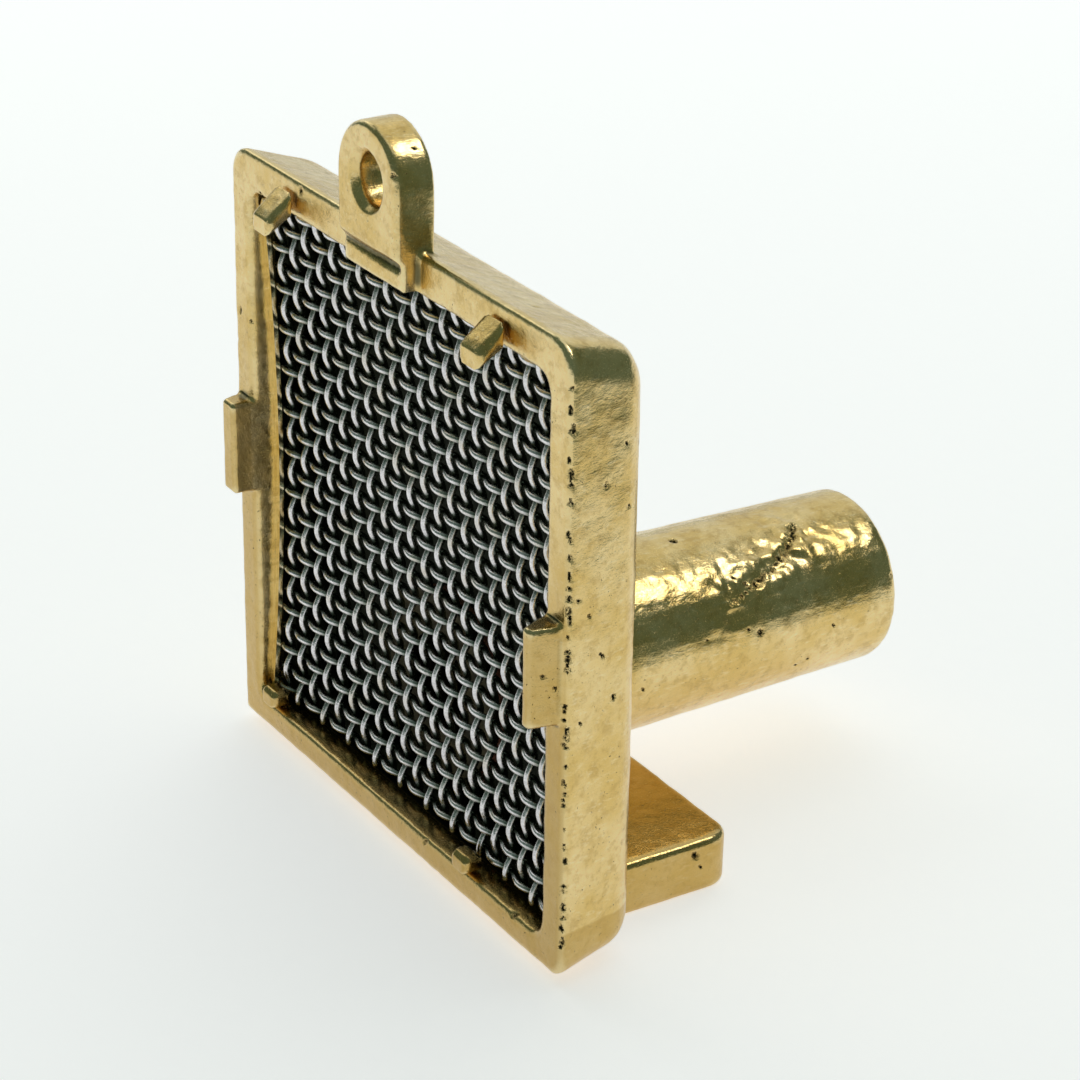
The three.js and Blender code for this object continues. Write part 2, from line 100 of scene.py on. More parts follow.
class Nodes:
    """A material's node tree, with short calls for the nodes used here."""

    def __init__(self, name):
        self.material = bpy.data.materials.new(name)
        self.material.use_nodes = True
        self.tree = self.material.node_tree
        self.shader = self.tree.nodes["Principled BSDF"]

    def add(self, kind, **settings):
        node = self.tree.nodes.new("ShaderNode" + kind)
        for key, value in settings.items():
            setattr(node, key, value)
        return node

    def link(self, source, target):
        self.tree.links.new(source, target)

    def millimetres(self, stretch=(1, 1, 1)):
        place = self.add("TexCoord").outputs["Object"]
        scale = self.add("Mapping")
        scale.inputs["Scale"].default_value = [s / MM for s in stretch]
        self.link(place, scale.inputs["Vector"])
        return scale.outputs["Vector"]

    def noise(self, place, size, detail=2.0, roughness=0.5, distortion=0.0):
        node = self.add("TexNoise")
        node.inputs["Scale"].default_value = 1 / size
        node.inputs["Detail"].default_value = detail
        node.inputs["Roughness"].default_value = roughness
        node.inputs["Distortion"].default_value = distortion
        self.link(place, node.inputs["Vector"])
        return node.outputs["Fac"]

    def stored(self, name):
        """A value that the mesh keeps for each vertex."""
        return self.add("Attribute", attribute_name=name).outputs["Fac"]

    def fit(self, value, low, high, to_low=0.0, to_high=1.0, smooth=True):
        node = self.add("MapRange")
        node.interpolation_type = "SMOOTHSTEP" if smooth else "LINEAR"
        node.inputs["From Min"].default_value = low
        node.inputs["From Max"].default_value = high
        node.inputs["To Min"].default_value = to_low
        node.inputs["To Max"].default_value = to_high
        self.link(value, node.inputs["Value"])
        return node.outputs["Result"]

    def span(self, noise, low, high):
        """A noise spread evenly from low to high, as a roughness is."""
        return self.fit(noise, *NOISE_SPREAD, low, high, smooth=False)

    def math(self, operation, first, second):
        node = self.add("Math", operation=operation)
        for socket, value in zip(node.inputs, (first, second)):
            if isinstance(value, (int, float)):
                socket.default_value = value
            else:
                self.link(value, socket)
        return node.outputs["Value"]

    def mix(self, factor, first, second):
        node = self.add("Mix", data_type="RGBA")
        colours = [s for s in node.inputs if s.type == "RGBA"]
        self.link(factor, node.inputs["Factor"])
        for socket, value in zip(colours, (first, second)):
            if isinstance(value, tuple):
                socket.default_value = (*value, 1)
            else:
                self.link(value, socket)
        return [s for s in node.outputs if s.type == "RGBA"][0]

    def bump(self, height, depth, strength=1.0, after=None):
        node = self.add("Bump")
        node.inputs["Strength"].default_value = strength
        node.inputs["Distance"].default_value = depth * MM
        self.link(height, node.inputs["Height"])
        if after is not None:
            self.link(after, node.inputs["Normal"])
        return node.outputs["Normal"]

    def finish(self, colour, roughness, normal=None, **constants):
        self.link(colour, self.shader.inputs["Base Color"])
        self.link(roughness, self.shader.inputs["Roughness"])
        if normal is not None:
            self.link(normal, self.shader.inputs["Normal"])
        for key, value in constants.items():
            name = key.replace("_", " ").title()
            self.shader.inputs[name].default_value = value
        return self.material


# ---- materials -------------------------------------------------------------------------------
BRASS_DEEP = (0.70, 0.49, 0.17)
BRASS_LIGHT = (0.80, 0.61, 0.29)
BRASS_SANDY = (0.48, 0.31, 0.09)
BRASS_SCRAPED = (0.88, 0.74, 0.45)
BRASS_BROWN = (0.50, 0.32, 0.09)
BRASS_WORN = (0.88, 0.74, 0.43)
# Painted shade for concave corners and the undercut under the lug.
BRASS_SHADE = (0.08, 0.075, 0.035)
# Dark specks, and painted shade at the bottom of pits, the crease and the edge dents.
DARK_SPECK_AND_SHADE = (0.024, 0.022, 0.010)
# Painted shade with the dark as-cast skin, for the chamber behind the screen.
CHAMBER_SKIN_AND_SHADE = (0.030, 0.034, 0.022)
# Painted shade: the turned parts inside the chamber are near black, with water stains.
TURNED_SHADE = (0.11, 0.09, 0.045)
TURNED_SHADE_STAINED = (0.05, 0.045, 0.03)
STRIP_DEEP = (0.80, 0.66, 0.36)
STRIP_BRIGHT = (0.96, 0.88, 0.62)
STRIP_STAINED = (0.55, 0.38, 0.13)
WIRE_DULL = (0.62, 0.60, 0.62)
WIRE_BRIGHT = (0.90, 0.87, 0.88)
WIRE_RUSTY = (0.60, 0.53, 0.40)
WIRE_SHADED = (0.14, 0.17, 0.13)
SPRING_DULL = (0.40, 0.41, 0.42)
SPRING_BRIGHT = (0.66, 0.67, 0.68)
RUBBER_DARK = (0.018, 0.018, 0.018)
RUBBER_BLOOMED = (0.045, 0.043, 0.04)
FIBRE_DARK = (0.22, 0.07, 0.045)
FIBRE_LIGHT = (0.42, 0.18, 0.11)
FLOOR_SHADES = ((0.90, 0.90, 0.90), (0.93, 0.93, 0.925))
FLOOR_GLOW = 0.56


def cast_brass():
    """Tumbled sand-cast brass: mottled gold with a satin grain; painted shade darkens its
    dents, corners, undercut and lower front faces, and the inside is near black for its dark
    skin and its shade.
    """
    n = Nodes("cast_brass")
    place = n.millimetres()
    patches = n.noise(place, 8, 3, 0.6)
    mottle = n.noise(place, 1.5, 4, 0.65)
    grain = n.noise(place, 0.3, 3, 0.7)
    scrape = n.noise(n.millimetres((1, 0.25, 1)), 0.5, 4, 0.75)
    gold = n.mix(n.fit(patches, 0.35, 0.65), BRASS_DEEP, BRASS_LIGHT)
    sandy = n.mix(n.fit(mottle, 0.45, 0.68, 0, 0.5), gold, BRASS_SANDY)
    pale = n.mix(n.fit(scrape, 0.52, 0.72, 0, 0.5), sandy, BRASS_SCRAPED)
    # Browner on the lower front faces, the claws and below the foot: partly a duller casting,
    # partly painted shade.
    brown = n.mix(n.math("MULTIPLY", n.stored("dullness_and_shade"), 0.75), pale, BRASS_BROWN)
    worn = n.mix(n.fit(n.stored("worn"), 0.25, 0.8, 0, 0.6), brown, BRASS_WORN)
    # Painted shade: concave corners and the undercut under the lug are darkened.
    shaded = n.mix(n.fit(n.stored("painted_shade"), 0.08, 0.5, 0, 0.9), worn, BRASS_SHADE)
    specks = n.fit(n.noise(place, 0.42, 3, 0.75), 0.66, 0.72)
    where = n.fit(n.noise(place, 5, 2, 0.5), 0.48, 0.60, 0, 0.9)
    ragged = n.fit(n.noise(place, 0.35, 3, 0.7), 0.38, 0.60, 0.1, 1.7)
    holes = n.math("MULTIPLY", n.stored("dent_shade"), ragged)
    pits = n.math("MAXIMUM", n.math("MULTIPLY", specks, where), holes)
    # Dark specks, and painted shade: the dents are darkened as the shade inside them.
    spotted = n.mix(n.fit(pits, 0.15, 0.7), shaded, DARK_SPECK_AND_SHADE)
    # Painted shade: the chamber behind the screen is near black, also for its dark as-cast
    # skin.
    colour = n.mix(n.stored("inside"), spotted, CHAMBER_SKIN_AND_SHADE)
    rough = n.span(grain, 0.15, 0.29)
    rough = n.math("ADD", rough, n.math("MULTIPLY", pits, 0.4))
    rough = n.math("ADD", rough, n.math("MULTIPLY", n.stored("inside"), 0.3))
    soft = n.bump(mottle, 0.07)
    fine = n.bump(scrape, 0.035, 1.0, soft)
    sunk = n.bump(pits, -0.15, 1.0, fine)
    return n.finish(colour, rough, sunk, metallic=1)


def turned_brass(axis_height):
    """Machined brass, stained by water, with fine rings about the valve's axis, painted near
    black as the shade it sits in inside the chamber.
    """
    n = Nodes("turned_brass")
    place = n.millimetres()
    split = n.add("SeparateXYZ")
    n.link(place, split.inputs[0])
    across = split.outputs["X"]
    above = n.math("SUBTRACT", split.outputs["Z"], axis_height / MM)
    squares = n.math(
        "ADD", n.math("MULTIPLY", across, across), n.math("MULTIPLY", above, above)
    )
    radius = n.math("SQRT", squares, 0)
    together = n.add("CombineXYZ")
    n.link(radius, together.inputs["X"])
    n.link(split.outputs["Y"], together.inputs["Y"])
    rings = n.noise(together.outputs["Vector"], 0.16, 2, 0.6)
    stain = n.noise(place, 3, 3, 0.6)
    # Painted shade: near black, with water stains.
    colour = n.mix(n.fit(stain, 0.35, 0.7), TURNED_SHADE, TURNED_SHADE_STAINED)
    rough = n.span(rings, 0.3, 0.5)
    return n.finish(colour, rough, n.bump(rings, 0.02), metallic=1)


def strip_brass():
    """Polished brass strip with scratches along it."""
    n = Nodes("strip_brass")
    scratches = n.noise(n.millimetres((1, 1, 0.1)), 0.3, 3, 0.7)
    stain = n.noise(n.millimetres(), 4, 3, 0.6)
    bright = n.mix(n.fit(scratches, *NOISE_SPREAD), STRIP_DEEP, STRIP_BRIGHT)
    colour = n.mix(n.fit(stain, 0.50, 0.7, 0, 0.6), bright, STRIP_STAINED)
    rough = n.span(scratches, 0.10, 0.22)
    return n.finish(colour, rough, n.bump(scratches, 0.02), metallic=1)


def screen_wire():
    """Drawn steel wire, with painted light on its crests and painted shade where it dips into
    the weave.
    """
    n = Nodes("screen_wire")
    place = n.millimetres()
    stain = n.noise(place, 5, 3, 0.6)
    scuff = n.noise(place, 0.35, 3, 0.7)
    steel = n.mix(n.fit(scuff, 0.35, 0.7), WIRE_DULL, WIRE_BRIGHT)
    warm = n.mix(n.fit(stain, 0.50, 0.7, 0, 0.5), steel, WIRE_RUSTY)
    # Painted light and shade: bright on the wire's crests, dark where it dips back.
    colour = n.mix(n.fit(n.stored("crest_light"), 0.20, 0.70), WIRE_SHADED, warm)
    rough = n.span(scuff, 0.16, 0.30)
    return n.finish(colour, rough, n.bump(scuff, 0.03), metallic=1)


def spring_steel():
    """Bright drawn steel with fine scuffs."""
    n = Nodes("spring_steel")
    place = n.millimetres()
    scuff = n.noise(place, 0.3, 3, 0.7)
    colour = n.mix(n.fit(scuff, *NOISE_SPREAD), SPRING_DULL, SPRING_BRIGHT)
    rough = n.span(scuff, 0.2, 0.34)
    return n.finish(colour, rough, n.bump(scuff, 0.02), metallic=1)


def seal_rubber():
    """Black rubber with a faint grey bloom."""
    n = Nodes("seal_rubber")
    place = n.millimetres()
    bloom = n.noise(place, 2.5, 4, 0.6)
    skin = n.noise(place, 0.22, 2, 0.6)
    colour = n.mix(n.fit(bloom, 0.35, 0.7), RUBBER_DARK, RUBBER_BLOOMED)
    rough = n.span(skin, 0.5, 0.72)
    return n.finish(colour, rough, n.bump(skin, 0.03))


def gasket_fibre():
    """Pressed red fibre."""
    n = Nodes("gasket_fibre")
    fibres = n.noise(n.millimetres((1, 0.3, 1)), 0.3, 4, 0.7)
    colour = n.mix(n.fit(fibres, *NOISE_SPREAD), FIBRE_DARK, FIBRE_LIGHT)
    rough = n.span(fibres, 0.7, 0.92)
    return n.finish(colour, rough, n.bump(fibres, 0.05))


def floor_paint():
    """A white floor that glows a little, so that it stays white under the object."""
    n = Nodes("floor_paint")
    place = n.millimetres()
    grain = n.noise(place, 3, 3, 0.6)
    colour = n.mix(n.fit(grain, *NOISE_SPREAD), *FLOOR_SHADES)
    rough = n.span(grain, 0.65, 0.8)
    glow = n.shader.inputs["Emission Color"]
    glow.default_value = (1, 1, 1, 1)
    return n.finish(colour, rough, n.bump(grain, 0.02), emission_strength=FLOOR_GLOW)


# ---- mesh helpers ----------------------------------------------------------------------------
HASH_STEPS = (73856093, 19349663, 83492791)
HASH_SEED_STEP = 2654435761
HASH_MIX = 1274126177
SWELL_SIZE = 3.1 * MM
SWELL_HEIGHT = 0.05 * MM
RIPPLE_SIZE = 1.2 * MM
RIPPLE_HEIGHT = 0.03 * MM
RAGGED_SIZE = 0.5 * MM
RAGGED_SEED = 5
LUMP_SIZE = 1.1 * MM
EDGE_GAIN = 8
EDGE_SPREADS = 3


def points_of(mesh):
    flat = np.empty(len(mesh.vertices) * 3)
    mesh.vertices.foreach_get("co", flat)
    return flat.reshape(-1, 3)


def set_points(mesh, points):
    mesh.vertices.foreach_set("co", points.reshape(-1))
    mesh.update()


def normals_of(mesh):
    flat = np.empty(len(mesh.vertices) * 3)
    mesh.vertices.foreach_get("normal", flat)
    return flat.reshape(-1, 3)


def lattice_values(cell, seed):
    """A steady random number from 0 to 1 for each whole-number corner."""
    i, j, k = (cell.astype(np.int64) * HASH_STEPS).T
    mixed = i ^ j ^ k ^ seed * HASH_SEED_STEP
    mixed = (mixed ^ (mixed >> 13)) * HASH_MIX & 0xFFFFFFFF
    mixed ^= mixed >> 16
    return (mixed & 0xFFFF) / 0xFFFF


def smooth_noise(points, size, seed):
    """Value noise from -1 to 1 with the given cell size."""
    scaled = points / size
    base = np.floor(scaled)
    part = scaled - base
    ease = part * part * (3 - 2 * part)
    total = np.zeros(len(points))
    for corner in np.ndindex(2, 2, 2):
        weight = np.ones(len(points))
        for axis, step in enumerate(corner):
            weight *= ease[:, axis] if step else 1 - ease[:, axis]
        total += weight * lattice_values(base + corner, seed)
    return total * 2 - 1


def object_of(name, mesh, material):
    thing = bpy.data.objects.new(name, mesh)
    bpy.context.scene.collection.objects.link(thing)
    mesh.materials.clear()
    mesh.materials.append(material)
    mesh.shade_smooth()
    return thing


def remeshed(node, voxel, rounds):
    """A copy of a CAD node's mesh with even small faces and rounded edges."""
    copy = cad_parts[node].copy()
    copy.data = copy.data.copy()
    copy.parent = None
    bpy.context.scene.collection.objects.link(copy)
    even = copy.modifiers.new("even", "REMESH")
    even.mode = "VOXEL"
    even.voxel_size = voxel
    soften = copy.modifiers.new("soften", "SMOOTH")
    soften.factor = 0.5
    soften.iterations = rounds
    graph = bpy.context.evaluated_depsgraph_get()
    mesh = bpy.data.meshes.new_from_object(copy.evaluated_get(graph))
    bpy.data.objects.remove(copy)
    return mesh


def roughen(mesh, seed):
    """Small swells and ripples, as a sand mould leaves."""
    points = points_of(mesh)
    height = SWELL_HEIGHT * smooth_noise(points, SWELL_SIZE, seed)
    height += RIPPLE_HEIGHT * smooth_noise(points, RIPPLE_SIZE, seed + 1)
    set_points(mesh, points + normals_of(mesh) * height[:, None])


def store(mesh, name, values):
    """Keeps a value from 0 to 1 for each vertex, for a material to read."""
    layer = mesh.attributes.new(name, "FLOAT", "POINT")
    layer.data.foreach_set("value", np.clip(values, 0, 1))


def tree_of(points):
    tree = KDTree(len(points))
    for i, p in enumerate(points):
        tree.insert(p, i)
    tree.balance()
    return tree


def nearest(points, guess):
    return points[np.argmin(((points - guess) ** 2).sum(axis=1))]


def dent(mesh, centres, radius, depth, stretch):
    """Sinks the surface round each centre, and returns how deep each vertex is in a dent."""
    points = points_of(mesh)
    normals = normals_of(mesh)
    tree = tree_of(points)
    ragged = 1 + stretch * smooth_noise(points, RAGGED_SIZE, RAGGED_SEED)
    sunk = np.zeros(len(points))
    share = np.zeros(len(points))
    for centre, r, d in zip(centres, radius, depth):
        for _, index, away in tree.find_range(centre, r * (1 + stretch)):
            near = away / (r * ragged[index])
            if near < 1:
                fall = (1 - near ** 2) ** 2
                sunk[index] = max(sunk[index], d * fall)
                share[index] = max(share[index], fall)
    set_points(mesh, points - normals * sunk[:, None])
    return share


def crinkle(mesh, spots, reach, height, seed):
    """Lumps the surface near those spots."""
    points = points_of(mesh)
    tree = tree_of(spots)
    box_low = np.min(spots, axis=0) - reach
    box_high = np.max(spots, axis=0) + reach
    near = np.flatnonzero(((points > box_low) & (points < box_high)).all(axis=1))
    away = np.array([tree.find(points[i])[2] for i in near])
    fall = np.clip(1 - away / reach, 0, 1)
    lumps = smooth_noise(points[near], LUMP_SIZE, seed)
    points[near] += normals_of(mesh)[near] * (height * fall * lumps)[:, None]
    set_points(mesh, points)


def neighbour_means(mesh, values):
    """Each vertex's neighbours' mean of the values."""
    ends = np.empty(len(mesh.edges) * 2, dtype=np.int32)
    mesh.edges.foreach_get("vertices", ends)
    first, second = ends.reshape(-1, 2).T
    count = np.bincount(ends, minlength=len(values))
    columns = values.reshape(len(values), -1).T
    sums = [
        np.bincount(first, column[second], len(values))
        + np.bincount(second, column[first], len(values))
        for column in columns
    ]
    return (np.array(sums) / count).T.reshape(values.shape)


def edge_bend(mesh, spacing):
    """How sharply the surface turns: above 0 on an edge, below 0 in a corner."""
    points = points_of(mesh)
    away = ((points - neighbour_means(mesh, points)) * normals_of(mesh)).sum(axis=1)
    bend = away / spacing
    for _ in range(EDGE_SPREADS):
        bend = neighbour_means(mesh, bend)
    return bend * EDGE_GAIN


# ---- the casting -----------------------------------------------------------------------------
BODY_VOXEL = 0.35 * MM
BODY_ROUNDS = 1
BODY_SEED = 11
HOOK_VOXEL = 0.15 * MM
HOOK_ROUNDS = 14
HOOK_SEED = 40

# Pits: how many at the most, their radius and how much of it is kept, their depth as a share of
# it, how often they lie on faces that don't point sideways, and the clumps they come in.
PIT_COUNT = 170
PIT_TRIES = 4
PIT_SIZES = (0.30 * MM, 0.80 * MM)
PIT_SHRINK = (0.5, 1)
PIT_DEPTH = 0.6
PIT_STRETCH = 0.7
PIT_ELSEWHERE = 0.25
PIT_CLUMP = 9 * MM
PIT_CLUMP_ABOVE = -0.2
PIT_CLUMP_SEED = 3

# The crease across the spigot and the rough band along it. Each end is an angle about the
# spigot's axis above +X in degrees, and a y.
SPIGOT_RADIUS = 12 * MM
FOLD_FROM = (72, 24.5 * MM)
FOLD_TO = (30, 10.5 * MM)
FOLD_BOW = 2.6 * MM
FOLD_SPOTS = 26
FOLD_WIDTHS = (0.3, 0.75)
FOLD_DARKNESS = 0.7
FOLD_LUMP_REACH = 6 * MM
FOLD_LUMP_HEIGHT = 0.30 * MM
BAND_FROM = (56, 2 * MM)
BAND_TO = (50, 35 * MM)
BAND_SPOTS = 20
BAND_LUMP_REACH = 3.5 * MM
BAND_LUMP_HEIGHT = 0.10 * MM

# The row of small dark dents down the front right edge, from the screen's edge and front.
EDGE_FROM_SCREEN = 4.6 * MM
EDGE_BEFORE_SCREEN = 1.9 * MM
DOTS_BOTTOM = 5 * MM
DOT_STEPS = (0.7, 1.1, 2.0, 3.6)
DOT_STEP_SPREAD = (0.8, 1.2)
DOT_DRIFT = 0.12
DOT_DROP = 0.35 * MM
DOT_MOST_DROPS = 3
DOT_WIDTHS = (0.20, 0.42)
DOT_DEPTH = 0.5
DOT_STRETCH = 0.4

# The undercut where the lug meets its foot: a dent, painted dark as the shade under the lug.
SLOT_FROM = (-6.0 * MM, -34.4 * MM, 78.0 * MM)
SLOT_TO = (5.9 * MM, -34.4 * MM, 78.0 * MM)
SLOT_NARROW = 0.55 * MM
SLOT_WIDE = 1.0 * MM
SLOT_SPOTS = 60
SLOT_DEPTH = 0.6
SLOT_STRETCH = 0.3
SLOT_DARKNESS = 0.55

# Where the brass is brownest, for a duller casting and for painted shade: how high it reaches,
# and how far forward a face has to point.
DULL_SHADE_TOP = 62 * MM
DULL_SHADE_FADE = 25 * MM
DULL_SHADE_FORWARD = 0.5
DULL_SHADE_FORWARD_FADE = 0.4
DULL_SHADE_ELSEWHERE = 0.8
CLAW_FRONT = -32.9 * MM
FOOT_TOP = 7.4 * MM

# How far the casting's inside, painted near black for its dark skin and for painted shade,
# reaches past the screen and the valve's gasket.
CHAMBER_BEHIND_SCREEN = 1.2 * MM
CHAMBER_BESIDE_SCREEN = 0.5 * MM
CHAMBER_PAST_GASKET = 0.6 * MM


def pit_centres(points, normals, rng):
    """Blow holes, most of them on the sides and the spigot."""
    picks = rng.integers(0, len(points), PIT_COUNT * PIT_TRIES)
    likely = PIT_ELSEWHERE + (1 - PIT_ELSEWHERE) * np.abs(normals[picks, 0])
    clumps = smooth_noise(points[picks], PIT_CLUMP, PIT_CLUMP_SEED) > PIT_CLUMP_ABOVE
    kept = picks[(rng.uniform(0, 1, len(picks)) < likely) & clumps]
    return points[kept[:PIT_COUNT]]


def spigot_spots(points, start, end, bow, count):
    """Vertices along a curve on the spigot, from one (angle in degrees, y) to another."""
    low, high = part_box("poppet")
    axis_z = (low.z + high.z) / 2
    spots = []
    for t in np.linspace(0, 1, count):
        angle = math.radians(start[0] + t * (end[0] - start[0]))
        y = start[1] + t * (end[1] - start[1]) + bow * math.sin(math.pi * t)
        across = SPIGOT_RADIUS * math.cos(angle)
        above = SPIGOT_RADIUS * math.sin(angle)
        spots.append(nearest(points, (across, y, axis_z + above)))
    return spots


def low_front(mesh):
    """1 on the lower front faces, less on the claws and below the foot's top, 0 elsewhere:
    where duller casting and painted shade make the brass browner.
    """
    points = points_of(mesh)
    low = np.clip((DULL_SHADE_TOP - points[:, 2]) / DULL_SHADE_FADE, 0, 1)
    forward = -normals_of(mesh)[:, 1] - DULL_SHADE_FORWARD
    front = np.clip(forward / DULL_SHADE_FORWARD_FADE, 0, 1)
    claws = (points[:, 1] < CLAW_FRONT) & (points[:, 2] < DULL_SHADE_TOP)
    bottom = points[:, 2] < FOOT_TOP
    return np.maximum(low * front, DULL_SHADE_ELSEWHERE * (claws | bottom))


def edge_dots(points, rng):
    """Centres of the row of dark dents, each drawn down into a short streak."""
    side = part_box("screen_cloth")[1].x + EDGE_FROM_SCREEN
    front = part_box("screen_cloth")[0].y - EDGE_BEFORE_SCREEN
    spots = []
    z = DOTS_BOTTOM
    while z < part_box("screen_cloth")[1].z:
        z += rng.choice(DOT_STEPS) * rng.uniform(*DOT_STEP_SPREAD) * MM
        guess = (side + rng.normal(0, DOT_DRIFT) * MM, front, z)
        for below in range(rng.integers(1, DOT_MOST_DROPS + 1)):
            spots.append(nearest(points, guess - np.array((0, 0, below * DOT_DROP))))
    return spots


def lug_slot(points):
    """Centres and sizes along the undercut, which widens to the right."""
    start = np.array(SLOT_FROM)
    run = np.array(SLOT_TO) - start
    along = np.linspace(0, 1, SLOT_SPOTS)
    spots = [nearest(points, start + run * t) for t in along]
    return spots, SLOT_NARROW + (SLOT_WIDE - SLOT_NARROW) * along


def in_chamber(points):
    """1 for the casting's surfaces behind the screen, 0 for those outside: where the dark skin
    and painted shade go.
    """
    low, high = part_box("screen_cloth")
    front = low.y + CHAMBER_BEHIND_SCREEN
    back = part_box("seat_gasket")[1].y + CHAMBER_PAST_GASKET
    inside = (points[:, 1] > front) & (points[:, 1] < back)
    for axis in (0, 2):
        inside &= points[:, axis] > low[axis] - CHAMBER_BESIDE_SCREEN
        inside &= points[:, axis] < high[axis] + CHAMBER_BESIDE_SCREEN
    return inside.astype(float)


def mark_body(mesh, marks, seed):
    """Sinks the pits, crease, edge dents and undercut, and notes where the brass is painted
    dark: painted shade in the dents, corners and undercut, and near black inside.
    """
    rng = np.random.default_rng(seed)
    points = points_of(mesh)
    centres = pit_centres(points, normals_of(mesh), rng)
    size = rng.uniform(*PIT_SIZES, len(centres)) * rng.uniform(*PIT_SHRINK, len(centres))
    pits = dent(mesh, centres, size, size * PIT_DEPTH, PIT_STRETCH)
    fold = spigot_spots(points, FOLD_FROM, FOLD_TO, FOLD_BOW, FOLD_SPOTS)
    crinkle(mesh, fold, FOLD_LUMP_REACH, FOLD_LUMP_HEIGHT, seed)
    band = spigot_spots(points, BAND_FROM, BAND_TO, 0, BAND_SPOTS)
    crinkle(mesh, band, BAND_LUMP_REACH, BAND_LUMP_HEIGHT, seed)
    wide = rng.uniform(*FOLD_WIDTHS, len(fold)) * MM
    crease = dent(mesh, fold, wide, wide * PIT_DEPTH, PIT_STRETCH)
    dots = edge_dots(points, rng)
    wide = rng.uniform(*DOT_WIDTHS, len(dots)) * MM
    edge_dents = dent(mesh, dots, wide, wide * DOT_DEPTH, DOT_STRETCH)
    slot, wide = lug_slot(points)
    undercut = dent(mesh, slot, wide, wide * SLOT_DEPTH, SLOT_STRETCH)
    # Where the dents lie, for their painted shade.
    marks["dent_shade"] = np.maximum.reduce((pits, FOLD_DARKNESS * crease, edge_dents))
    # Painted shade in the undercut under the lug.
    marks["painted_shade"] = np.maximum(marks["painted_shade"], SLOT_DARKNESS * undercut)
    # Painted near black inside the chamber, for its dark skin and painted shade.
    marks["inside"] = in_chamber(points)


def cast_piece(node, material, voxel, rounds, seed):
    """A cast node with soft edges and a sand-cast surface."""
    mesh = remeshed(node, voxel, rounds)
    bend = edge_bend(mesh, voxel)
    nowhere = np.zeros(len(mesh.vertices))
    marks = {
        "worn": bend,
        # Browner low front faces: duller casting and painted shade.
        "dullness_and_shade": low_front(mesh),
        # Painted shade in the concave corners.
        "painted_shade": -bend,
        "dent_shade": nowhere,
        "inside": nowhere,
    }
    roughen(mesh, seed)
    if node == "body_casting":
        mark_body(mesh, marks, seed)
    for name, values in marks.items():
        store(mesh, name, values)
    piece = object_of("cast_" + node, mesh, material)
    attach(piece, "housing")
    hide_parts(node)


# ---- the woven screen ------------------------------------------------------------------------
ACROSS_PITCH = 3.2 * MM
UP_PITCH = 2.77 * MM
WIRE_RADIUS = 0.43 * MM
WEAVE_LIFT = 0.42 * MM
STEPS_PER_CROSSING = 8
CLOTH_DEPTH = 0.35 * MM
WIRE_STRAY = 0.02
SCREEN_SEED = 7
# How bright the painted light on the crests of the upright and of the level wires is.
CREST_PAINTED_LIGHT = (1.0, 0.78)
WIRE_SIDES = 8
FEWEST_POINTS = 4
PROBE_DISTANCE = 5 * MM


def surface_probe(node):
    """A function that gives a node's front face at an x and z, or None off its edge."""
    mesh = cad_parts[node].data
    tree = BVHTree.FromPolygons(
        [v.co for v in mesh.vertices], [p.vertices for p in mesh.polygons]
    )
    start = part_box(node)[0].y - PROBE_DISTANCE

    def front(x, z):
        hit = tree.ray_cast(Vector((x, start, z)), Vector((0, 1, 0)))
        return None if hit[0] is None else hit[0].y

    return front


def tube(path, radius, sides):
    """Vertices and faces of a round wire with flat ends."""
    path = np.array(path)
    along = np.gradient(path, axis=0)
    along /= np.linalg.norm(along, axis=1)[:, None]
    flat = np.array((0, 1, 0))
    side = np.cross(along, flat)
    side /= np.linalg.norm(side, axis=1)[:, None]
    out = np.cross(side, along)
    angle = np.arange(sides) * 2 * math.pi / sides
    ring = (
        side[:, None] * np.cos(angle)[None, :, None]
        + out[:, None] * np.sin(angle)[None, :, None]
    )
    points = (path[:, None] + radius * ring).reshape(-1, 3)
    faces = []
    for i in range(len(path) - 1):
        for j in range(sides):
            k = (j + 1) % sides
            a, b = i * sides, (i + 1) * sides
            faces.append((a + j, b + j, b + k, a + k))
    faces.append(tuple(range(sides)))
    last = (len(path) - 1) * sides
    faces.append(tuple(reversed(range(last, last + sides))))
    return points, faces


